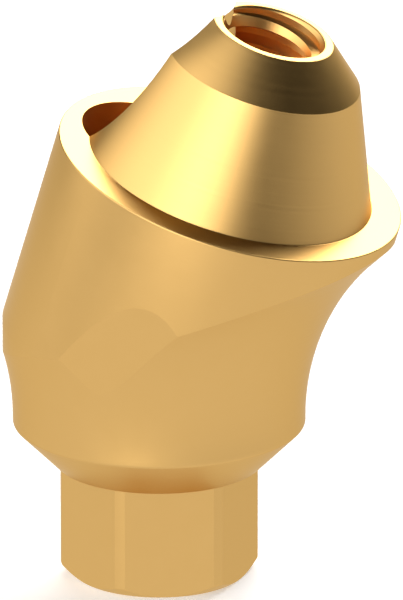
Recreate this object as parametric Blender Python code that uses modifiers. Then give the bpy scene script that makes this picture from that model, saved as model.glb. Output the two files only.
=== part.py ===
"""Angled dental abutment, modelled at its real size in metres with +Z up.

The origin is on the implant's axis at the free end of the hexagon.  The head
leans over towards +X, and the XZ plane is the part's plane of symmetry.  The
body is turned, milled and bored from one bar, so it is one solid.
"""

import math

import bmesh
import bpy
from mathutils import Euler, Matrix, Vector

MM = 0.001

# Driving sizes in millimetres, and angles in degrees
HEAD_TILT = 17.0                # head's axis against the implant's axis
AXES_CROSS_HEIGHT = 2.371       # where the two axes meet, above the hexagon's end

HEX_ACROSS_FLATS = 2.40
HEX_LENGTH = 1.575              # hexagon's end to the ledge of the seat
HEX_CORNER_RADIUS = 1.345       # its six corners are turned to this radius
HEX_END_RADIUS = 1.185          # left at the free end by the chamfer
HEX_CHAMFER_ANGLE = 50.0        # from the axis

SEAT_FOOT_RADIUS = 1.418        # the bevelled seat starts here, on the ledge
SEAT_ANGLE = 45.0
COLLAR_RADIUS = 1.990
COLLAR_EDGE_FILLET = 0.06       # where the seat turns into the collar
COLLAR_TOP_HEIGHT = 2.227       # the collar stops being straight here
FLARE_RADIUS = 3.461            # hollow flare above the collar
FLARE_ANGLE = 46.9              # past its arc the flare is straight, this far from the axis

PLATFORM_RADIUS = 2.40
PLATFORM_HEIGHT = 3.603         # crossing of the axes to the shoulder, on the head's axis
ELBOW_OFFSET = 0.302            # straight lower wall's axis, ahead of the implant's axis

FLAT_HALF_WIDTH = 2.153         # plane of symmetry to each flank's milled flat, at the elbow
FLAT_LEAN = 11.9                # the flats lean out towards the head
FLAT_TAPER = 1.9                # and close in towards the front
FLAT_FOOT_HEIGHT = 2.90         # their cutter stops here, clear of the flare

CONE_FOOT_RADIUS = 1.977
CONE_HALF_ANGLE = 20.6
CONE_HEIGHT = 1.670             # shoulder to the cone's upper edge
RIM_RADIUS = 0.828              # outer edge of the flat rim
CHAMFER_ANGLE = 45.0            # between the cone and the rim

CHANNEL_RADIUS = 1.040          # way in for the screw that holds the abutment down
CHANNEL_FLOOR_HEIGHT = 1.95     # head of that screw sits here
SCREW_HOLE_RADIUS = 0.85
SCREW_SEAT_ANGLE = 45.0

THREAD_CORE_RADIUS = 0.560      # hole for the M1.4 thread before it is cut
THREAD_DEPTH = 2.40             # from the rim
THREAD_MOUTH_RADIUS = 0.728     # inner edge of the flat rim
DRILL_POINT_ANGLE = 59.0        # half of a twist drill's 118 degree point

# How finely round forms are stepped, and how far cutters run past the metal
TURN_STEPS = 96
BORE_STEPS = 48
FLARE_STEPS = 10
FILLET_STEPS = 3
OVERRUN = 1.0
MERGE_DISTANCE = 1e-7           # metres

BODY_COLOUR = (0.69, 0.42, 0.14, 1.0)
BODY_ROUGHNESS = 0.34

# Sizes that follow from those above
TILT = math.radians(HEAD_TILT)
SEAT = math.radians(SEAT_ANGLE)
COLLAR_FOOT_HEIGHT = HEX_LENGTH + (COLLAR_RADIUS - SEAT_FOOT_RADIUS) / math.tan(SEAT)
CONE_EDGE_RADIUS = CONE_FOOT_RADIUS - CONE_HEIGHT * math.tan(math.radians(CONE_HALF_ANGLE))
CHAMFER_HEIGHT = (CONE_EDGE_RADIUS - RIM_RADIUS) / math.tan(math.radians(CHAMFER_ANGLE))
CONE_EDGE_HEIGHT = PLATFORM_HEIGHT + CONE_HEIGHT
RIM_HEIGHT = CONE_EDGE_HEIGHT + CHAMFER_HEIGHT
ELBOW_DISTANCE = ELBOW_OFFSET / math.sin(TILT)
ELBOW_HEIGHT = AXES_CROSS_HEIGHT + ELBOW_OFFSET / math.tan(TILT)
HEAD_REACH = PLATFORM_HEIGHT * math.sin(TILT) + PLATFORM_RADIUS * math.cos(TILT)
TOP_HEIGHT = AXES_CROSS_HEIGHT + RIM_HEIGHT * math.cos(TILT) + RIM_RADIUS * math.sin(TILT)


def clear_scene():
    """Empty the file of whatever objects it opened with."""
    for item in list(bpy.data.objects):
        bpy.data.objects.remove(item, do_unlink=True)


def new_collection(name):
    """Return a collection of this name, linked to the scene."""
    collection = bpy.data.collections.new(name)
    bpy.context.scene.collection.children.link(collection)
    return collection


def satin_gold():
    """Return the finish of the gold-coloured titanium nitride coating."""
    material = bpy.data.materials.new("satin_gold")
    material.use_nodes = True
    shader = material.node_tree.nodes["Principled BSDF"]
    shader.inputs["Base Color"].default_value = BODY_COLOUR
    shader.inputs["Metallic"].default_value = 1.0
    shader.inputs["Roughness"].default_value = BODY_ROUGHNESS
    return material


def arc(centre, radius, start, end, steps):
    """Points of an arc in a profile's plane, from one angle in degrees to another."""
    points = []
    for step in range(steps + 1):
        angle = math.radians(start + (end - start) * step / steps)
        points.append((centre[0] + radius * math.cos(angle), centre[1] + radius * math.sin(angle)))
    return points


def turned(name, profile, steps, collection):
    """Turn a profile of (radius, height) points, listed from the top down, about local Z."""
    mesh = bpy.data.meshes.new(name)
    points = [(radius * MM, 0.0, height * MM) for radius, height in profile]
    mesh.from_pydata(points, [(i, i + 1) for i in range(len(points) - 1)], [])
    item = bpy.data.objects.new(name, mesh)
    collection.objects.link(item)
    screw = item.modifiers.new("turn", "SCREW")
    screw.axis = "Z"
    screw.steps = steps
    screw.render_steps = steps
    screw.use_merge_vertices = True
    screw.merge_threshold = MERGE_DISTANCE
    screw.use_smooth_shade = True
    return item


def object_from(shape, name, collection):
    """Turn a finished bmesh into an object in the collection, and free the bmesh."""
    mesh = bpy.data.meshes.new(name)
    shape.to_mesh(mesh)
    shape.free()
    item = bpy.data.objects.new(name, mesh)
    collection.objects.link(item)
    return item


def straight_bar(name, radius, sides, bottom, top, collection):
    """Return an upright bar with this many sides, its corners at the radius."""
    shape = bmesh.new()
    bmesh.ops.create_cone(
        shape,
        cap_ends=True,
        segments=sides,
        radius1=radius * MM,
        radius2=radius * MM,
        depth=(top - bottom) * MM,
        matrix=Matrix.Translation((0.0, 0.0, (top + bottom) / 2.0 * MM)),
    )
    return object_from(shape, name, collection)


def as_cutter(item):
    """Mark an object as a tool that shapes the part and isn't part of it."""
    item.hide_render = True
    item.display_type = "WIRE"
    return item


def on_head_axis(item):
    """Stand an object on the head's axis, with its origin where the axes cross."""
    item.location = (0.0, 0.0, AXES_CROSS_HEIGHT * MM)
    item.rotation_euler = Euler((0.0, TILT, 0.0))
    return item


def trunk_profile():
    """Seat, collar and flare about the implant's axis, then straight up past the head."""
    flare_centre = (COLLAR_RADIUS + FLARE_RADIUS, COLLAR_TOP_HEIGHT)
    flare = arc(flare_centre, FLARE_RADIUS, 180.0 - FLARE_ANGLE, 180.0, FLARE_STEPS)
    arc_end_radius, arc_end_height = flare[0]
    reach = max(HEAD_REACH, arc_end_radius) + OVERRUN
    brim = arc_end_height + (reach - arc_end_radius) / math.tan(math.radians(FLARE_ANGLE))
    top = max(TOP_HEIGHT, brim) + OVERRUN
    setback = COLLAR_EDGE_FILLET * math.tan(SEAT / 2.0)
    fillet_centre = (COLLAR_RADIUS - COLLAR_EDGE_FILLET, COLLAR_FOOT_HEIGHT + setback)
    fillet = arc(fillet_centre, COLLAR_EDGE_FILLET, 0.0, -SEAT_ANGLE, FILLET_STEPS)
    return (
        [(0.0, top), (reach, top), (reach, brim)]
        + flare
        + fillet
        + [(SEAT_FOOT_RADIUS, HEX_LENGTH), (0.0, HEX_LENGTH)]
    )


def head_profile():
    """Rim, chamfer, cone, shoulder and platform wall about the head's axis."""
    return [
        (0.0, RIM_HEIGHT),
        (RIM_RADIUS, RIM_HEIGHT),
        (CONE_EDGE_RADIUS, CONE_EDGE_HEIGHT),
        (CONE_FOOT_RADIUS, PLATFORM_HEIGHT),
        (PLATFORM_RADIUS, PLATFORM_HEIGHT),
        (PLATFORM_RADIUS, -PLATFORM_RADIUS - OVERRUN),
        (0.0, -PLATFORM_RADIUS - OVERRUN),
    ]


def elbow_form(collection):
    """The head on its platform wall, mitred into a wall straight down the implant's axis."""
    draft = on_head_axis(turned("head_turning", head_profile(), TURN_STEPS, collection))
    bpy.context.view_layer.update()
    evaluated = draft.evaluated_get(bpy.context.evaluated_depsgraph_get())
    mesh = bpy.data.meshes.new_from_object(evaluated)
    bpy.data.objects.remove(draft, do_unlink=True)

    shape = bmesh.new()
    shape.from_mesh(mesh)
    bmesh.ops.remove_doubles(shape, verts=shape.verts, dist=MERGE_DISTANCE)
    mitre = Vector((-math.sin(TILT / 2.0), 0.0, math.cos(TILT / 2.0)))
    cut = bmesh.ops.bisect_plane(
        shape,
        geom=shape.verts[:] + shape.edges[:] + shape.faces[:],
        plane_co=(0.0, 0.0, ELBOW_DISTANCE * MM),
        plane_no=mitre,
        clear_inner=True,
    )
    ring = [edge for edge in cut["geom_cut"] if isinstance(edge, bmesh.types.BMEdge)]
    lower = bmesh.ops.extrude_edge_only(shape, edges=ring)["geom"]
    moved = [vert for vert in lower if isinstance(vert, bmesh.types.BMVert)]
    straight_down = Vector((math.sin(TILT), 0.0, -math.cos(TILT))) * (ELBOW_HEIGHT * MM)
    bmesh.ops.translate(shape, verts=moved, vec=straight_down)
    bmesh.ops.contextual_create(shape, geom=[e for e in lower if isinstance(e, bmesh.types.BMEdge)])
    bmesh.ops.recalc_face_normals(shape, faces=shape.faces)
    return as_cutter(on_head_axis(object_from(shape, "elbow_form", collection)))


def flat_cutter(side, collection):
    """Block whose inner face leaves the milled flat on one flank, side -1 or +1."""
    lean = math.radians(FLAT_LEAN)
    foot = (FLAT_FOOT_HEIGHT - ELBOW_HEIGHT) / math.cos(lean)
    size = Vector((2.0 * (PLATFORM_RADIUS + OVERRUN), OVERRUN, TOP_HEIGHT - foot))
    middle = Vector((0.0, side * size.y / 2.0, foot + size.z / 2.0))
    shape = bmesh.new()
    bmesh.ops.create_cube(
        shape,
        size=1.0,
        matrix=Matrix.Translation(middle * MM) @ Matrix.Diagonal((*(size * MM), 1.0)),
    )
    item = object_from(shape, "flat_cutter", collection)
    item.location = (ELBOW_OFFSET * MM, side * FLAT_HALF_WIDTH * MM, ELBOW_HEIGHT * MM)
    item.rotation_euler = Euler((-side * lean, 0.0, -side * math.radians(FLAT_TAPER)))
    return as_cutter(item)


def hexagon_bar(collection):
    """Six-sided bar with a flat towards +X, long enough to root in the trunk."""
    corner = HEX_ACROSS_FLATS / 2.0 / math.cos(math.pi / 6.0)
    item = straight_bar("hexagon_bar", corner, 6, -OVERRUN, COLLAR_FOOT_HEIGHT, collection)
    chamfer = (HEX_CORNER_RADIUS - HEX_END_RADIUS) / math.tan(math.radians(HEX_CHAMFER_ANGLE))
    profile = [
        (0.0, COLLAR_FOOT_HEIGHT + OVERRUN),
        (HEX_CORNER_RADIUS, COLLAR_FOOT_HEIGHT + OVERRUN),
        (HEX_CORNER_RADIUS, chamfer),
        (HEX_END_RADIUS, 0.0),
        (0.0, 0.0),
    ]
    combine(item, as_cutter(turned("hexagon_turning", profile, TURN_STEPS, collection)), "INTERSECT")
    return as_cutter(item)


def screw_channel(collection):
    """Way in, seat and through hole of the abutment screw, on the implant's axis."""
    taper = (CHANNEL_RADIUS - SCREW_HOLE_RADIUS) / math.tan(math.radians(SCREW_SEAT_ANGLE))
    top = TOP_HEIGHT + OVERRUN
    profile = [
        (0.0, top),
        (CHANNEL_RADIUS, top),
        (CHANNEL_RADIUS, CHANNEL_FLOOR_HEIGHT),
        (SCREW_HOLE_RADIUS, CHANNEL_FLOOR_HEIGHT - taper),
        (SCREW_HOLE_RADIUS, -OVERRUN),
        (0.0, -OVERRUN),
    ]
    return as_cutter(turned("screw_channel", profile, BORE_STEPS, collection))


def thread_hole(collection):
    """Hole for the screw that holds the restoration, on the head's axis."""
    floor = RIM_HEIGHT - THREAD_DEPTH
    mouth = THREAD_MOUTH_RADIUS - THREAD_CORE_RADIUS
    profile = [
        (0.0, RIM_HEIGHT + OVERRUN),
        (THREAD_MOUTH_RADIUS + OVERRUN, RIM_HEIGHT + OVERRUN),
        (THREAD_CORE_RADIUS, RIM_HEIGHT - mouth),
        (THREAD_CORE_RADIUS, floor),
        (0.0, floor - THREAD_CORE_RADIUS / math.tan(math.radians(DRILL_POINT_ANGLE))),
    ]
    return as_cutter(on_head_axis(turned("thread_hole", profile, BORE_STEPS, collection)))


def combine(item, other, operation):
    """Add an exact Boolean with another object to an object."""
    boolean = item.modifiers.new(other.name, "BOOLEAN")
    boolean.operation = operation
    boolean.solver = "EXACT"
    boolean.object = other


def build():
    """Model the abutment and return it."""
    clear_scene()
    parts = new_collection("dental_abutment")
    tools = new_collection("shaping_tools")

    body = turned("abutment_body", trunk_profile(), TURN_STEPS, parts)
    combine(body, elbow_form(tools), "INTERSECT")
    for side in (-1, 1):
        combine(body, flat_cutter(side, tools), "DIFFERENCE")
    combine(body, hexagon_bar(tools), "UNION")
    combine(body, screw_channel(tools), "DIFFERENCE")
    combine(body, thread_hole(tools), "DIFFERENCE")
    body.data.materials.append(satin_gold())
    return body


build()
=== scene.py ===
"""Looks of an angled dental abutment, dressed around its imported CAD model.

The abutment is one piece of titanium with a satin, gold-coloured coating.  Its
body is modelled again here with finely stepped forms, broken edges and a real
thread in the head, and it stands for the CAD body, whose sizes it keeps.
"""

import logging
import math
from dataclasses import dataclass, field
from enum import Enum

import bpy
from mathutils import Matrix, Vector

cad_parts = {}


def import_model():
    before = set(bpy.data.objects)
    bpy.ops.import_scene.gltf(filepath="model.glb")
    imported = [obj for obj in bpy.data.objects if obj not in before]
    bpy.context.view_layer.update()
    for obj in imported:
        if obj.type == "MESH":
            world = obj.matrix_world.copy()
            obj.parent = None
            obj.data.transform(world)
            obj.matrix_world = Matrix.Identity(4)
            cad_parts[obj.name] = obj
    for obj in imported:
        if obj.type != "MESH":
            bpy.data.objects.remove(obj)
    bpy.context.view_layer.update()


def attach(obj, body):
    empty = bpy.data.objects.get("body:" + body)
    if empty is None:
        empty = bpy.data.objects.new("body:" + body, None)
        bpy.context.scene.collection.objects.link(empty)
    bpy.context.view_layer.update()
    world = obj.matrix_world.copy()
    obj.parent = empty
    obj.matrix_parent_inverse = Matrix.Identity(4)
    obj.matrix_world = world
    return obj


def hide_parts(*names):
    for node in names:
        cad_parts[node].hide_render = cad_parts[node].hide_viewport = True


MM = 0.001
WELD = 2e-7  # metres within which points are merged
CUT_TOLERANCE = WELD / 10.0  # metres within which a point counts as on a cutting plane
FULL_TURN = 2.0 * math.pi
HEXAGON_SIDES = 6
ROUND_STEPS = 5  # segments in a broken edge
WHITE = (1.0, 1.0, 1.0, 1.0)

log = logging.getLogger("dental_abutment")

Profile = list[tuple[float, float]]


class Cut(Enum):
    """What a second shape does to the first."""

    JOIN = "UNION"
    KEEP = "INTERSECT"
    REMOVE = "DIFFERENCE"


@dataclass(frozen=True)
class LatheAxis:
    """An axis that forms are turned about, as millimetres in the part's frame.

    Attributes:
        foot: Point on the axis that heights are measured from.
        tilt: Lean of the axis towards +X, in degrees.
    """

    foot: tuple[float, float, float]
    tilt: float = 0.0

    @property
    def along(self) -> Vector:
        """Direction in which heights grow."""
        angle = math.radians(self.tilt)
        return Vector((math.sin(angle), 0.0, math.cos(angle)))

    @property
    def outward(self) -> Vector:
        """Direction in which a profile's radii are drawn."""
        angle = math.radians(self.tilt)
        return Vector((math.cos(angle), 0.0, -math.sin(angle)))

    def place(self, radius: float, height: float) -> Vector:
        """Place a profile point in the part's frame.

        Args:
            radius: Distance from the axis in millimetres.
            height: Distance along the axis in millimetres.

        Returns:
            The point in metres.
        """
        return (Vector(self.foot) + self.outward * radius + self.along * height) * MM


class Bench:
    """The workbench: edit-mode steps that every form is made with."""

    @staticmethod
    def clear_selection() -> None:
        """Leave edit mode and select nothing."""
        if bpy.context.object and bpy.context.object.mode != "OBJECT":
            bpy.ops.object.mode_set(mode="OBJECT")
        bpy.ops.object.select_all(action="DESELECT")

    @staticmethod
    def work_on(piece: bpy.types.Object) -> None:
        """Make a piece the only one selected, and the active one.

        Args:
            piece: The piece to work on.
        """
        Bench.clear_selection()
        piece.select_set(True)
        bpy.context.view_layer.objects.active = piece

    @staticmethod
    def weld() -> None:
        """Merge doubled points of what is selected in edit mode, and face it outwards."""
        bpy.ops.mesh.select_all(action="SELECT")
        bpy.ops.mesh.remove_doubles(threshold=WELD)
        bpy.ops.mesh.normals_make_consistent(inside=False)

    @staticmethod
    def settle() -> None:
        """Put the selected piece's place, turn and scale into its mesh."""
        bpy.ops.object.transform_apply(location=True, rotation=True, scale=True)

    @staticmethod
    def draw(name: str, spots: list[Vector]) -> bpy.types.Object:
        """Draw an open line by extruding one point from spot to spot.

        Args:
            name: Name of the new object.
            spots: Places of the line's points, in metres.

        Returns:
            The new object, left in edit mode.
        """
        Bench.clear_selection()
        bpy.ops.mesh.primitive_plane_add(size=MM, location=(0.0, 0.0, 0.0))
        piece = bpy.context.object
        piece.name = piece.data.name = name
        bpy.ops.object.mode_set(mode="EDIT")
        bpy.ops.mesh.merge(type="CENTER")
        bpy.ops.transform.translate(value=spots[0])
        for here, there in zip(spots, spots[1:]):
            bpy.ops.mesh.extrude_region_move(TRANSFORM_OT_translate={"value": there - here})
        return piece

    @staticmethod
    def turn(name: str, profile: Profile, axis: LatheAxis, steps: int) -> bpy.types.Object:
        """Turn a closed form from its half profile.

        Args:
            name: Name of the new object.
            profile: Radii and heights in millimetres, from one end on the axis to the other.
            axis: The axis that it is turned about.
            steps: Number of facets round the axis.

        Returns:
            The turned form, in object mode.
        """
        form = Bench.draw(name, [axis.place(*point) for point in profile])
        bpy.ops.mesh.select_all(action="SELECT")
        bpy.ops.mesh.spin(
            steps=steps, angle=FULL_TURN, center=axis.place(0.0, 0.0), axis=axis.along
        )
        Bench.weld()
        bpy.ops.object.mode_set(mode="OBJECT")
        return form

    @staticmethod
    def mark_zone(form: bpy.types.Object, zone: int) -> None:
        """Give a form's faces a zone of their own, so that its borders can be found later.

        Args:
            form: The form to mark.
            zone: Number of the zone.
        """
        layer = form.data.attributes.new("zone", "INT", "FACE")
        layer.data.foreach_set("value", [zone] * len(form.data.polygons))

    @staticmethod
    def combine(piece: bpy.types.Object, tool: bpy.types.Object, cut: Cut) -> None:
        """Combine a piece with a tool, and remove the tool.

        Args:
            piece: The piece that is changed.
            tool: The form that changes it.
            cut: What the tool does.
        """
        Bench.work_on(piece)
        boolean = piece.modifiers.new("combine", "BOOLEAN")
        boolean.operation = cut.value
        boolean.solver = "EXACT"
        boolean.object = tool
        bpy.ops.object.modifier_apply(modifier=boolean.name)
        bpy.data.objects.remove(tool, do_unlink=True)


def heading(azimuth: float, elevation: float) -> Vector:
    """Find the direction from the object towards a place round it.

    Args:
        azimuth: Degrees round the object, 0 towards -Y and 90 towards +X.
        elevation: Degrees above the horizon.

    Returns:
        The direction, of length 1.
    """
    turn, rise = math.radians(azimuth), math.radians(elevation)
    return Vector(
        (math.sin(turn) * math.cos(rise), -math.cos(turn) * math.cos(rise), math.sin(rise))
    )


def arc(
    centre: tuple[float, float], radius: float, start: float, end: float, steps: int
) -> Profile:
    """List the points of an arc in a profile's plane.

    Args:
        centre: Radius and height of the arc's centre.
        radius: The arc's own radius.
        start: Angle of the first point in degrees, from the outward direction.
        end: Angle of the last point in degrees.
        steps: Number of segments.

    Returns:
        The points, both ends among them.
    """
    points = []
    for step in range(steps + 1):
        angle = math.radians(start + (end - start) * step / steps)
        points.append(
            (centre[0] + radius * math.cos(angle), centre[1] + radius * math.sin(angle))
        )
    return points


def rounded(profile: Profile, breaks: dict[int, float]) -> Profile:
    """Round some corners of a profile.

    Args:
        profile: The profile with sharp corners.
        breaks: Radius in millimetres for each corner that is rounded, by its place in the list.

    Returns:
        The profile with its corners rounded.
    """
    result: Profile = []
    for index, corner in enumerate(profile):
        if index not in breaks:
            result.append(corner)
            continue
        spot = Vector(corner)
        before = (Vector(profile[index - 1]) - spot).normalized()
        after = (Vector(profile[index + 1]) - spot).normalized()
        half = before.angle(after) / 2.0
        radius = breaks[index]
        centre = spot + (before + after).normalized() * (radius / math.sin(half))
        first = spot + before * (radius / math.tan(half)) - centre
        last = spot + after * (radius / math.tan(half)) - centre
        sweep = first.angle(last)
        for step in range(ROUND_STEPS + 1):
            share = step / ROUND_STEPS
            blend = (
                first * math.sin((1.0 - share) * sweep) + last * math.sin(share * sweep)
            ) / math.sin(sweep)
            result.append(tuple(centre + blend))
    return result


class Wiring:
    """Shorthand for adding and joining shader nodes.

    A Mix node has sockets of the same names for numbers, vectors and colours, so blend
    and tint pick them by number.
    """

    def __init__(self, tree: bpy.types.NodeTree) -> None:
        """Work on a node tree.

        Args:
            tree: The tree that nodes are added to.
        """
        self.tree = tree

    def add(self, kind: str, inputs: dict | None = None, **settings: object) -> bpy.types.Node:
        """Add a node.

        Args:
            kind: The node's type, without the leading ShaderNode.
            inputs: A value or an output to join for each input, by name or number.
            settings: The node's own settings.

        Returns:
            The new node.
        """
        node = self.tree.nodes.new("ShaderNode" + kind)
        for name, value in settings.items():
            setattr(node, name, value)
        for socket, value in (inputs or {}).items():
            if isinstance(value, bpy.types.NodeSocket):
                self.tree.links.new(value, node.inputs[socket])
            else:
                node.inputs[socket].default_value = value
        return node

    def math(self, operation: str, *values: object) -> bpy.types.NodeSocket:
        """Add a Math node.

        Args:
            operation: What it works out.
            values: A number or an output for each of its inputs.

        Returns:
            Its result.
        """
        return self.add("Math", dict(enumerate(values)), operation=operation).outputs[0]

    def dot(self, first: object, second: object) -> bpy.types.NodeSocket:
        """Take the dot product of two vectors.

        Args:
            first: A vector, or an output that gives one.
            second: The other vector or output.

        Returns:
            The product.
        """
        node = self.add("VectorMath", {0: first, 1: second}, operation="DOT_PRODUCT")
        return node.outputs["Value"]

    def fade(self, value: object, edge: float, width: float) -> bpy.types.NodeSocket:
        """Fade smoothly from 1 down to 0 as a value grows.

        Args:
            value: The output that is read.
            edge: Value at the middle of the fade.
            width: How far the fade reaches, from end to end.

        Returns:
            The faded share.
        """
        reach = {"From Min": edge - width / 2.0, "From Max": edge + width / 2.0}
        node = self.add(
            "MapRange",
            {"Value": value, "To Min": 1.0, "To Max": 0.0, **reach},
            interpolation_type="SMOOTHSTEP",
        )
        return node.outputs["Result"]

    def from_foot(self, spot: bpy.types.NodeSocket, axis: LatheAxis) -> bpy.types.NodeSocket:
        """Measure a spot's place from an axis's foot.

        Args:
            spot: The spot, in metres.
            axis: The axis.

        Returns:
            The vector from the foot to the spot, in metres.
        """
        foot = axis.place(0.0, 0.0)
        return self.add("VectorMath", {0: spot, 1: foot}, operation="SUBTRACT").outputs["Vector"]

    def along(self, spot: bpy.types.NodeSocket, axis: LatheAxis) -> bpy.types.NodeSocket:
        """Measure how far up an axis a spot lies.

        Args:
            spot: The spot, in metres.
            axis: The axis.

        Returns:
            The distance from the axis's foot, in metres.
        """
        return self.dot(self.from_foot(spot, axis), axis.along)

    def away(self, spot: bpy.types.NodeSocket, axis: LatheAxis) -> bpy.types.NodeSocket:
        """Measure how far from an axis a spot lies.

        Args:
            spot: The spot, in metres.
            axis: The axis.

        Returns:
            The distance from the axis, in metres.
        """
        cross = {0: self.from_foot(spot, axis), 1: axis.along}
        side = self.add("VectorMath", cross, operation="CROSS_PRODUCT").outputs["Vector"]
        return self.add("VectorMath", {0: side}, operation="LENGTH").outputs["Value"]

    def inside(
        self,
        away: bpy.types.NodeSocket,
        radius: float,
        down: bpy.types.NodeSocket,
        width: float,
    ) -> bpy.types.NodeSocket:
        """Find what lies inside a bore, from none at its mouth to all a little way down.

        Args:
            away: Distance from the bore's axis, in metres.
            radius: The bore's radius in millimetres.
            down: How far the spot lies below the middle of the fade, in metres.
            width: How far the fade reaches, from end to end, in millimetres.

        Returns:
            The share.
        """
        within = self.math("LESS_THAN", away, radius * MM)
        deep = self.math("SUBTRACT", 1.0, self.fade(down, 0.0, width * MM))
        return self.math("MULTIPLY", within, deep)

    def blend(self, share: object, first: object, second: object) -> bpy.types.NodeSocket:
        """Blend two values.

        Args:
            share: How much of the second is taken.
            first: Value at a share of 0.
            second: Value at a share of 1.

        Returns:
            The blended value.
        """
        return self.add("Mix", {0: share, 2: first, 3: second}, data_type="FLOAT").outputs[0]

    def tint(self, share: object, first: object, second: object) -> bpy.types.NodeSocket:
        """Blend two colours.

        Args:
            share: How much of the second is taken.
            first: Colour at a share of 0.
            second: Colour at a share of 1.

        Returns:
            The blended colour.
        """
        node = self.add("Mix", {0: share}, data_type="RGBA")
        for socket, colour in ((6, first), (7, second)):
            if isinstance(colour, bpy.types.NodeSocket):
                self.tree.links.new(colour, node.inputs[socket])
            else:
                node.inputs[socket].default_value = (*colour, 1.0)
        return node.outputs[2]


@dataclass(frozen=True)
class SatinGold:
    """Satin titanium nitride: a warm gold metal with faint tool marks and mottling, and with
    painted bounce light down in its bores.

    Attributes:
        slot: The record's material slot.
        light: Colour of the paler spots.
        deep: Colour of the deeper spots.
        painted_bore_bounce: Redder gold painted down in the bores, standing in for light bounced
            between their walls.
        edge_tint: Colour at grazing angles.
        roughness: Mean roughness.
        roughness_change: How much the tool marks, and the mottling too, change it.
        mark_width: Width of one tool mark in millimetres.
        mark_height: Height of the tool marks in millimetres.
        mark_detail: Finer levels of noise in the tool marks.
        spot_width: Width of one mottled spot in millimetres.
        spot_detail: Finer levels of noise in the mottling.
        hole_fade: Depth below the rim in millimetres at the middle of the fade into the hole's
            painted bounce light.
        channel_fade: Height in millimetres at the middle of the fade into the channel's painted
            bounce light.
        fade_width: How far both fades of painted bounce light reach, from end to end, in
            millimetres.
        end_height: Height in millimetres up to which the hexagon's end is kept free of painted
            bounce light.
        wall_margin: How far outside the channel's radius its wall may lie, in millimetres.
    """

    slot: str = "satin_gold"
    light: tuple[float, float, float] = (0.70, 0.428, 0.145)
    deep: tuple[float, float, float] = (0.68, 0.412, 0.135)
    painted_bore_bounce: tuple[float, float, float] = (0.83, 0.44, 0.14)
    edge_tint: tuple[float, float, float] = (0.90, 0.77, 0.57)
    roughness: float = 0.36
    roughness_change: float = 0.05
    mark_width: float = 0.045
    mark_height: float = 0.0004
    mark_detail: float = 2.0
    spot_width: float = 0.30
    spot_detail: float = 3.0
    hole_fade: float = 0.17
    channel_fade: float = 6.6
    fade_width: float = 0.25
    end_height: float = 0.02
    wall_margin: float = 0.001

    def make(self, body: "AbutmentBody") -> bpy.types.Material:
        """Build the material.

        Args:
            body: The abutment, whose axes the tool marks run round.

        Returns:
            The new material.
        """
        material = bpy.data.materials.new(self.slot)
        material.use_nodes = True
        wires = Wiring(material.node_tree)
        shader = material.node_tree.nodes["Principled BSDF"]
        shader.distribution = "GGX"
        shader.inputs["Metallic"].default_value = 1.0
        shader.inputs["Specular Tint"].default_value = (*self.edge_tint, 1.0)
        spot = wires.add("TexCoord").outputs["Object"]
        up_stem = wires.along(spot, body.stem_axis)
        up_head = wires.along(spot, body.head_axis)
        elbow = body.mitre.dot(Vector((body.elbow_offset, 0.0, body.elbow_height))) * MM
        on_head = wires.math("GREATER_THAN", wires.dot(spot, body.mitre), elbow)
        height = wires.blend(on_head, up_stem, up_head)
        mark_scale = 1.0 / (self.mark_width * MM)
        marks = wires.add(
            "TexNoise",
            {"W": height, "Scale": mark_scale, "Detail": self.mark_detail},
            noise_dimensions="1D",
        ).outputs["Fac"]
        spot_scale = 1.0 / (self.spot_width * MM)
        spots = wires.add(
            "TexNoise", {"Vector": spot, "Scale": spot_scale, "Detail": self.spot_detail}
        ).outputs["Fac"]
        colour = wires.tint(spots, self.deep, self.light)
        # Painted bounce light: down in the threaded hole and the screw channel, the base colour
        # turns a redder gold. This stands in for light bounced between the bore walls.
        in_hole = wires.inside(
            wires.away(spot, body.head_axis),
            body.thread_mouth_radius,
            wires.math("SUBTRACT", (body.rim_height - self.hole_fade) * MM, up_head),
            self.fade_width,
        )
        in_channel = wires.inside(
            wires.away(spot, body.stem_axis),
            body.channel_radius + self.wall_margin,
            wires.math("SUBTRACT", self.channel_fade * MM, up_stem),
            self.fade_width,
        )
        painted_bounce_share = wires.math("MAXIMUM", in_hole, in_channel)
        above_end = wires.math("GREATER_THAN", up_stem, self.end_height * MM)
        colour = wires.tint(wires.math("MULTIPLY", painted_bounce_share, above_end), colour, self.painted_bore_bounce)
        wires.tree.links.new(colour, shader.inputs["Base Color"])
        change = self.roughness_change
        rough = wires.math("MULTIPLY_ADD", marks, change, self.roughness - change)
        rough = wires.math("MULTIPLY_ADD", spots, change, rough)
        wires.tree.links.new(rough, shader.inputs["Roughness"])
        bump = wires.add("Bump", {"Height": marks, "Distance": self.mark_height * MM})
        wires.tree.links.new(bump.outputs["Normal"], shader.inputs["Normal"])
        return material


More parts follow.
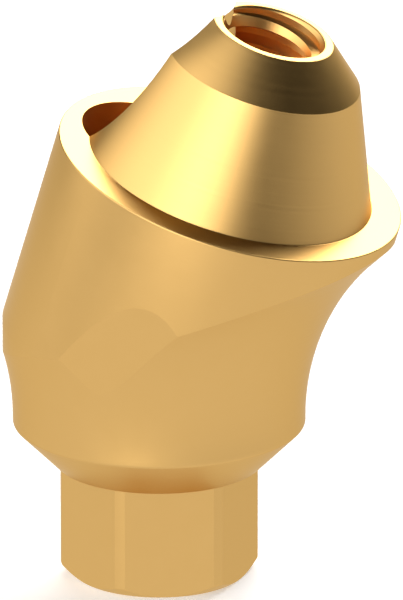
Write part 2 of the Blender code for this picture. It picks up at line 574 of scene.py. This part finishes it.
@dataclass
class AbutmentBody:
    """The abutment: a stem for the implant and a head that leans 17 degrees.

    All sizes are millimetres and degrees, and agree with the CAD model's.  The CAD
    body has no thread and no broken edges, and its threaded hole has a wider mouth.
    """

    # Head's axis against the implant's axis, and the height at which they cross
    head_tilt: float = 17.0
    axes_cross: float = 2.371

    # Hexagon for the implant, with turned corners and a chamfer at its free end
    hex_across_flats: float = 2.40
    hex_length: float = 1.575
    hex_corner_radius: float = 1.345
    hex_end_radius: float = 1.185
    hex_chamfer_angle: float = 50.0

    # Bevelled seat, collar and hollow flare, about the implant's axis
    seat_foot_radius: float = 1.418
    seat_angle: float = 45.0
    collar_radius: float = 1.990
    collar_edge_fillet: float = 0.06
    collar_top: float = 2.227
    flare_radius: float = 3.461
    flare_angle: float = 46.9

    # Round shoulder on the head's axis, and how far ahead the straight wall below it stands
    platform_radius: float = 2.40
    platform_height: float = 3.603
    elbow_offset: float = 0.302

    # Milled flats: their distance from the middle at the elbow, and where their cutter stops
    flat_half_width: float = 2.153
    flat_lean: float = 11.9
    flat_taper: float = 1.9
    flat_foot: float = 2.90

    # Cone, bevelled top and flat rim
    cone_foot_radius: float = 1.977
    cone_half_angle: float = 20.6
    cone_height: float = 1.670
    rim_radius: float = 0.828
    chamfer_angle: float = 45.0

    # Screw channel, and the through hole under its 45 degree seat
    channel_radius: float = 1.040
    channel_floor: float = 1.95
    screw_hole_radius: float = 0.85

    # Threaded hole: its ridges are thread_crest wide, the top one thread_crest_drop down
    thread_core_radius: float = 0.560
    thread_outer_radius: float = 0.700
    thread_pitch: float = 0.30
    thread_flank_angle: float = 30.0
    thread_crest: float = 0.05
    thread_crest_drop: float = 0.30
    thread_depth: float = 2.40
    thread_mouth_radius: float = 0.715
    thread_mouth_slope: float = 65.0
    thread_mouth_lift: float = 0.002
    drill_point_angle: float = 59.0

    # Tap: gap between its root and the drilled wall, spare length and turns, turns above the
    # top ridge, and turns trimmed off each end
    tap_root_gap: float = 0.01
    tap_spare: float = 0.6
    tap_spare_turns: int = 2
    tap_turns_above: int = 4
    tap_trim_turns: float = 2.1

    # Radii of the broken edges
    seat_foot_break: float = 0.015
    rim_break: float = 0.04
    head_break: float = 0.02
    hex_corner_break: float = 0.03
    hex_end_break: float = 0.02
    mouth_break: float = 0.05

    # How finely forms are stepped, where edges stay crisp, and how far cutters run past
    turn_steps: int = 288
    bore_steps: int = 160
    tap_steps: int = 96
    flare_steps: int = 28
    fillet_steps: int = 8
    crisp_angle: float = 25.0
    overrun: float = 1.0
    finish: SatinGold = field(default_factory=SatinGold)

    @property
    def stem_axis(self) -> LatheAxis:
        """The implant's axis."""
        return LatheAxis((0.0, 0.0, 0.0))

    @property
    def head_axis(self) -> LatheAxis:
        """The leaning head's axis."""
        return LatheAxis((0.0, 0.0, self.axes_cross), self.head_tilt)

    @property
    def mitre(self) -> Vector:
        """Normal of the plane in which the leaning wall meets the straight one."""
        half = math.radians(self.head_tilt) / 2.0
        return Vector((math.sin(half), 0.0, math.cos(half)))

    @property
    def collar_foot(self) -> float:
        """Height at which the seat meets the collar."""
        rise = (self.collar_radius - self.seat_foot_radius) / math.tan(
            math.radians(self.seat_angle)
        )
        return self.hex_length + rise

    @property
    def cone_edge_radius(self) -> float:
        """Radius at the cone's upper edge."""
        return self.cone_foot_radius - self.cone_height * math.tan(
            math.radians(self.cone_half_angle)
        )

    @property
    def rim_height(self) -> float:
        """Height of the flat rim along the head's axis."""
        chamfer = (self.cone_edge_radius - self.rim_radius) / math.tan(
            math.radians(self.chamfer_angle)
        )
        return self.platform_height + self.cone_height + chamfer

    @property
    def elbow_height(self) -> float:
        """Height at which the leaning wall meets the straight one."""
        return self.axes_cross + self.elbow_offset / math.tan(math.radians(self.head_tilt))

    @property
    def top(self) -> float:
        """A height safely above the whole part."""
        return self.axes_cross + self.rim_height + self.overrun

    def trunk(self) -> bpy.types.Object:
        """Turn the seat, the collar and the flare.

        Returns:
            The trunk, which runs on upwards past the head.
        """
        centre = (self.collar_radius + self.flare_radius, self.collar_top)
        flare = arc(
            centre, self.flare_radius, 180.0 - self.flare_angle, 180.0, self.flare_steps
        )
        reach = self.platform_radius + self.top * math.sin(math.radians(self.head_tilt))
        rise = (reach - flare[0][0]) / math.tan(math.radians(self.flare_angle))
        brim = flare[0][1] + rise
        setback = self.collar_edge_fillet * math.tan(math.radians(self.seat_angle) / 2.0)
        fillet = arc(
            (self.collar_radius - self.collar_edge_fillet, self.collar_foot + setback),
            self.collar_edge_fillet,
            0.0,
            -self.seat_angle,
            self.fillet_steps,
        )
        profile = (
            [(0.0, self.top + brim), (reach, self.top + brim), (reach, brim)]
            + flare
            + fillet
            + [(self.seat_foot_radius, self.hex_length), (0.0, self.hex_length)]
        )
        foot_corner = len(profile) - 2
        return Bench.turn(
            "abutment_body_gold",
            rounded(profile, {foot_corner: self.seat_foot_break}),
            self.stem_axis,
            self.turn_steps,
        )

    def head(self) -> bpy.types.Object:
        """Turn the head, mitre it at the elbow and run its wall straight down.

        Returns:
            The form that the trunk is kept inside.
        """
        below = -self.platform_radius - self.overrun
        cone_edge = self.platform_height + self.cone_height
        profile = [
            (0.0, self.rim_height),
            (self.rim_radius, self.rim_height),
            (self.cone_edge_radius, cone_edge),
            (self.cone_foot_radius, self.platform_height),
            (self.platform_radius, self.platform_height),
            (self.platform_radius, below),
            (0.0, below),
        ]
        breaks = {1: self.rim_break, 2: self.head_break, 3: self.head_break, 4: self.head_break}
        form = Bench.turn("head", rounded(profile, breaks), self.head_axis, self.turn_steps)
        Bench.work_on(form)
        bpy.ops.object.mode_set(mode="EDIT")
        bpy.ops.mesh.select_all(action="SELECT")
        distance = self.elbow_offset / math.sin(math.radians(self.head_tilt))
        bpy.ops.mesh.bisect(
            plane_co=self.head_axis.place(0.0, distance),
            plane_no=self.mitre,
            clear_inner=True,
            use_fill=False,
            threshold=CUT_TOLERANCE,
        )
        drop = (0.0, 0.0, -self.elbow_height * MM)
        bpy.ops.mesh.extrude_region_move(TRANSFORM_OT_translate={"value": drop})
        bpy.ops.mesh.edge_face_add()
        Bench.weld()
        bpy.ops.object.mode_set(mode="OBJECT")
        return form

    def flat_cutter(self, side: int) -> bpy.types.Object:
        """Make the block that leaves the milled flat on one flank.

        Args:
            side: -1 for the near flank, +1 for the far one.

        Returns:
            The cutting block.
        """
        lean = math.radians(self.flat_lean)
        foot = (self.flat_foot - self.elbow_height) / math.cos(lean)
        size = Vector((2.0 * (self.platform_radius + self.overrun), self.overrun, self.top - foot))
        middle = Vector((0.0, side * size.y / 2.0, foot + size.z / 2.0))
        Bench.clear_selection()
        bpy.ops.mesh.primitive_cube_add(size=1.0, location=middle * MM, scale=size * MM)
        block = bpy.context.object
        block.name = block.data.name = "flat_cutter"
        Bench.settle()
        turn = Matrix.Rotation(-side * math.radians(self.flat_taper), 4, "Z")
        tip = Matrix.Rotation(-side * lean, 4, "X")
        where = Vector((self.elbow_offset, side * self.flat_half_width, self.elbow_height)) * MM
        block.matrix_world = Matrix.Translation(where) @ turn @ tip
        Bench.settle()
        return block

    def hexagon(self) -> bpy.types.Object:
        """Make the six-sided stem with its turned corners and chamfered end.

        Returns:
            The hexagon, long enough to root in the trunk.
        """
        Bench.clear_selection()
        bottom, top = -self.overrun, self.collar_foot
        bpy.ops.mesh.primitive_cylinder_add(
            vertices=HEXAGON_SIDES,
            radius=self.hex_across_flats / 2.0 / math.cos(math.pi / HEXAGON_SIDES) * MM,
            depth=(top - bottom) * MM,
            location=(0.0, 0.0, (top + bottom) / 2.0 * MM),
        )
        bar = bpy.context.object
        bar.name = bar.data.name = "hexagon"
        Bench.settle()
        chamfer = (self.hex_corner_radius - self.hex_end_radius) / math.tan(
            math.radians(self.hex_chamfer_angle)
        )
        profile = [
            (0.0, top + self.overrun),
            (self.hex_corner_radius, top + self.overrun),
            (self.hex_corner_radius, chamfer),
            (self.hex_end_radius, 0.0),
            (0.0, 0.0),
        ]
        turning = Bench.turn(
            "hexagon_turning",
            rounded(profile, {2: self.hex_corner_break, 3: self.hex_end_break}),
            self.stem_axis,
            self.turn_steps,
        )
        Bench.combine(bar, turning, Cut.KEEP)
        return bar

    def channel(self) -> bpy.types.Object:
        """Turn the bore that the abutment screw goes in by.

        Returns:
            The bore's form.
        """
        taper = self.channel_radius - self.screw_hole_radius
        profile = [
            (0.0, self.top),
            (self.channel_radius, self.top),
            (self.channel_radius, self.channel_floor),
            (self.screw_hole_radius, self.channel_floor - taper),
            (self.screw_hole_radius, -self.overrun),
            (0.0, -self.overrun),
        ]
        return Bench.turn("channel", profile, self.stem_axis, self.bore_steps)

    def thread_hole(self) -> bpy.types.Object:
        """Turn the drilled hole of the thread, with its steep mouth.

        Returns:
            The hole's form.
        """
        floor = self.rim_height - self.thread_depth
        slope = math.tan(math.radians(self.thread_mouth_slope))
        mouth = (self.thread_mouth_radius - self.thread_core_radius) * slope
        point = self.thread_core_radius / math.tan(math.radians(self.drill_point_angle))
        brim = self.rim_height + self.thread_mouth_lift
        profile = [
            (0.0, self.rim_height + self.overrun),
            (self.cone_foot_radius, self.rim_height + self.overrun),
            (self.cone_foot_radius, brim),
            (self.thread_mouth_radius, brim),
            (self.thread_core_radius, brim - mouth),
            (self.thread_core_radius, floor),
            (0.0, floor - point),
        ]
        profile = rounded(profile, {3: self.mouth_break})
        return Bench.turn("thread_hole", profile, self.head_axis, self.bore_steps)

    def tap(self) -> bpy.types.Object:
        """Wind the tap that cuts the thread.

        Returns:
            A closed threaded bar on the head's axis.
        """
        pitch = self.thread_pitch
        inner = self.thread_core_radius - self.tap_root_gap
        outer = self.thread_outer_radius
        slope = math.tan(math.radians(self.thread_flank_angle))
        crest = self.thread_crest - 2.0 * (self.thread_core_radius - inner) * slope
        rise = (outer - inner) * slope
        turns = math.ceil((self.thread_depth + self.tap_spare) / pitch) + self.tap_spare_turns
        crest_top = crest + (self.thread_core_radius - inner) * slope
        top_crest = (turns - self.tap_turns_above) * pitch
        start = self.rim_height - self.thread_crest_drop - crest_top - top_crest
        points = [
            (inner, 0.0),
            (inner, crest),
            (outer, crest + rise),
            (outer, pitch - rise),
            (inner, pitch),
        ]
        spots = [Vector((radius, 0.0, height)) * MM for radius, height in points]
        bar = Bench.draw("tap", spots)
        bpy.ops.object.mode_set(mode="OBJECT")
        screw = bar.modifiers.new("wind", "SCREW")
        screw.axis = "Z"
        screw.angle = FULL_TURN
        screw.screw_offset = pitch * MM
        screw.iterations = turns
        screw.steps = screw.render_steps = self.tap_steps
        screw.use_merge_vertices = False
        bpy.ops.object.modifier_apply(modifier=screw.name)
        bpy.ops.object.mode_set(mode="EDIT")
        Bench.weld()
        for turn, above in ((self.tap_trim_turns, False), (turns - self.tap_trim_turns, True)):
            bpy.ops.mesh.select_all(action="SELECT")
            bpy.ops.mesh.bisect(
                plane_co=(0.0, 0.0, turn * pitch * MM),
                plane_no=(0.0, 0.0, 1.0),
                clear_inner=not above,
                clear_outer=above,
                use_fill=True,
                threshold=CUT_TOLERANCE,
            )
        Bench.weld()
        bpy.ops.object.mode_set(mode="OBJECT")
        tilt = Matrix.Rotation(math.radians(self.head_tilt), 4, "Y")
        bar.matrix_world = Matrix.Translation(self.head_axis.place(0.0, start)) @ tilt
        Bench.settle()
        return bar

    def build(self) -> bpy.types.Object:
        """Model the body in one piece.

        Returns:
            The finished body.
        """
        body = self.trunk()
        steps = [
            (self.head(), Cut.KEEP),
            (self.flat_cutter(-1), Cut.REMOVE),
            (self.flat_cutter(1), Cut.REMOVE),
            (self.hexagon(), Cut.JOIN),
            (self.channel(), Cut.REMOVE),
            (self.thread_hole(), Cut.REMOVE),
            (self.tap(), Cut.REMOVE),
        ]
        Bench.mark_zone(body, 0)
        for zone, (form, cut) in enumerate(steps, start=1):
            Bench.mark_zone(form, zone)
            Bench.combine(body, form, cut)
        self.shade(body)
        return body

    def shade(self, body: bpy.types.Object) -> None:
        """Shade the body smooth, with its zones' borders and its corners left crisp.

        Args:
            body: The finished body.
        """
        mesh = body.data
        zones = [0] * len(mesh.polygons)
        mesh.attributes["zone"].data.foreach_get("value", zones)
        touching: dict[int, set[int]] = {}
        for polygon in mesh.polygons:
            for loop in polygon.loop_indices:
                touching.setdefault(mesh.loops[loop].edge_index, set()).add(zones[polygon.index])
        Bench.work_on(body)
        bpy.ops.object.shade_smooth_by_angle(angle=math.radians(self.crisp_angle))
        sharp = mesh.attributes.get("sharp_edge") or mesh.attributes.new(
            "sharp_edge", "BOOLEAN", "EDGE"
        )
        for edge, found in touching.items():
            if len(found) > 1:
                sharp.data[edge].value = True
        mesh.attributes.remove(mesh.attributes["zone"])

    def dress(self, body: bpy.types.Object) -> None:
        """Give the body its finish and its place in the frame.

        Args:
            body: The finished body.
        """
        body.data.materials.clear()
        body.data.materials.append(self.finish.make(self))
        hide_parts("abutment_body")
        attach(body, "root")


@dataclass(frozen=True)
class PhotoCamera:
    """The camera at the photograph's place, far off and with a long lens.

    Attributes:
        azimuth: Where it stands, in degrees round the object, 0 towards -Y and 90 towards +X.
        elevation: Height above the horizon in degrees.
        aim: Point that it looks at, in millimetres.
        frame_height: Height of the frame at that point, in millimetres.
        lens: Focal length in millimetres.
        sensor: Longer side of the sensor in millimetres.
        nearest: Distance in metres from which it sees.
        farthest: Distance in metres up to which it sees.
    """

    azimuth: float = 23.305
    elevation: float = 18.965
    aim: tuple[float, float, float] = (0.5279, 0.2301, 3.861)
    frame_height: float = 8.135
    lens: float = 1100.0
    sensor: float = 36.0
    nearest: float = 0.01
    farthest: float = 10.0

    def make(self) -> None:
        """Add the camera and make it the scene's."""
        back = heading(self.azimuth, self.elevation)
        data = bpy.data.cameras.new("photo_camera")
        data.lens = self.lens
        data.sensor_width = self.sensor
        data.clip_start, data.clip_end = self.nearest, self.farthest
        camera = bpy.data.objects.new("photo_camera", data)
        distance = self.frame_height * self.lens / self.sensor
        camera.location = (Vector(self.aim) + back * distance) * MM
        camera.rotation_euler = back.to_track_quat("Z", "Y").to_euler()
        bpy.context.scene.collection.objects.link(camera)
        bpy.context.scene.camera = camera


@dataclass(frozen=True)
class SoftBox:
    """A soft light box far off in the room.

    Attributes:
        name: What the box is called.
        azimuth: Where it stands, in degrees round the object, 0 towards -Y and 90 towards +X.
        elevation: Height above the horizon in degrees.
        half_width: Half its width, as a share of its distance.
        half_height: Half its height, as a share of its distance.
        fade_across: Width of its faded edge at the sides, as a share of its distance.
        fade_upward: Width of its faded edge at top and bottom, as a share of its distance.
        strength: Its brightness, where 1 is white.
        roll: Turn about the line to the object, in degrees.
    """

    name: str
    azimuth: float
    elevation: float
    half_width: float
    half_height: float
    fade_across: float
    fade_upward: float
    strength: float
    roll: float

    def axes(self) -> tuple[Vector, Vector, Vector]:
        """Find the box's own directions.

        Returns:
            The directions towards the box, across it and up it.
        """
        turn, spin = math.radians(self.azimuth), math.radians(self.roll)
        towards = heading(self.azimuth, self.elevation)
        across = Vector((math.cos(turn), math.sin(turn), 0.0))
        upward = towards.cross(across)
        return (
            towards,
            across * math.cos(spin) + upward * math.sin(spin),
            upward * math.cos(spin) - across * math.sin(spin),
        )


@dataclass
class Studio:
    """A white table in a dark room, with large soft light boxes round it.

    Attributes:
        floor_size: Side of the floor in millimetres.
        floor_colour: Its grey, where 1 is white.
        floor_glow: Light that it gives off itself, where 1 is white.
        matt_light: Share of the room's light that matt surfaces get.
        horizon: Height in the room at the middle of the fade from the table to the dark.
        horizon_fade: How far that fade reaches, from end to end.
        least_depth: Least depth that a box's edges are worked out with, never zero.
        front_depth: Depth past which a direction counts as facing a box.
        boxes: The light boxes.
    """

    floor_size: float = 300.0
    floor_colour: float = 0.80
    floor_glow: float = 0.35
    matt_light: float = 0.35
    horizon: float = -0.025
    horizon_fade: float = 0.36
    least_depth: float = 0.01
    front_depth: float = 0.02
    boxes: tuple[SoftBox, ...] = (
        SoftBox(
            name="key",
            azimuth=1.2,
            elevation=15.6,
            half_width=0.388,
            half_height=0.322,
            fade_across=0.059,
            fade_upward=1.177,
            strength=4.63,
            roll=59.8,
        ),
        SoftBox(
            name="fill",
            azimuth=-55.9,
            elevation=37.1,
            half_width=0.741,
            half_height=0.533,
            fade_across=2.5,
            fade_upward=0.297,
            strength=2.59,
            roll=28.7,
        ),
        SoftBox(
            name="rear",
            azimuth=186.8,
            elevation=34.8,
            half_width=0.530,
            half_height=0.431,
            fade_across=0.054,
            fade_upward=0.159,
            strength=7.6,
            roll=-22.3,
        ),
    )

    def floor(self) -> None:
        """Lay the matt, pale floor, which the room's table stands for in reflections."""
        Bench.clear_selection()
        bpy.ops.mesh.primitive_plane_add(size=self.floor_size * MM, location=(0.0, 0.0, 0.0))
        floor = bpy.context.object
        floor.name = floor.data.name = "studio_floor"
        material = bpy.data.materials.new("studio_floor")
        material.use_nodes = True
        material.node_tree.nodes.clear()
        wires = Wiring(material.node_tree)
        shade = self.floor_colour
        matt = wires.add("BsdfDiffuse", {"Color": (shade, shade, shade, 1.0)})
        glow = wires.add("Emission", {"Strength": self.floor_glow})
        pale = wires.add("AddShader", {0: matt.outputs[0], 1: glow.outputs[0]})
        wires.add("OutputMaterial", {"Surface": pale.outputs[0]})
        floor.data.materials.append(material)
        floor.visible_glossy = False
        floor.visible_shadow = False

    def room(self) -> None:
        """Paint the room: soft boxes and a white table, and plain white for the camera."""
        world = bpy.data.worlds.new("studio_room")
        bpy.context.scene.world = world
        world.use_nodes = True
        world.node_tree.nodes.clear()
        wires = Wiring(world.node_tree)
        view = wires.add("TexCoord").outputs["Generated"]
        light: object = 0.0
        for box in self.boxes:
            depth, side, height = (wires.dot(view, axis) for axis in box.axes())
            near = wires.math("MAXIMUM", depth, self.least_depth)
            across = wires.math("ABSOLUTE", wires.math("DIVIDE", side, near))
            upward = wires.math("ABSOLUTE", wires.math("DIVIDE", height, near))
            share = wires.math(
                "MULTIPLY",
                wires.fade(across, box.half_width, box.fade_across),
                wires.fade(upward, box.half_height, box.fade_upward),
            )
            in_front = wires.math("GREATER_THAN", depth, self.front_depth)
            share = wires.math("MULTIPLY", share, in_front)
            light = wires.math("MULTIPLY_ADD", share, box.strength, light)
            log.info("%s box: strength %.2f", box.name, box.strength)
        path = wires.add("LightPath")
        level = wires.add("SeparateXYZ", {0: view}).outputs["Z"]
        table = wires.fade(level, self.horizon, self.horizon_fade)
        light = wires.math("MAXIMUM", light, table)
        dimmed = wires.math("MULTIPLY", light, self.matt_light)
        mixed = wires.blend(path.outputs["Is Diffuse Ray"], light, dimmed)
        seen = wires.blend(path.outputs["Is Camera Ray"], mixed, 1.0)
        background = wires.add("Background", {"Color": WHITE, "Strength": seen})
        wires.add("OutputWorld", {"Surface": background.outputs[0]})


def main() -> None:
    """Build the abutment, the studio and the camera."""
    logging.basicConfig(level=logging.INFO, format="%(name)s: %(message)s")
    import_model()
    PhotoCamera().make()
    abutment = AbutmentBody()
    body = abutment.build()
    abutment.dress(body)
    log.info("%s: %d faces", body.name, len(body.data.polygons))
    studio = Studio()
    studio.floor()
    studio.room()
    bpy.context.scene.view_settings.view_transform = "Standard"


if __name__ == "__main__":
    main()
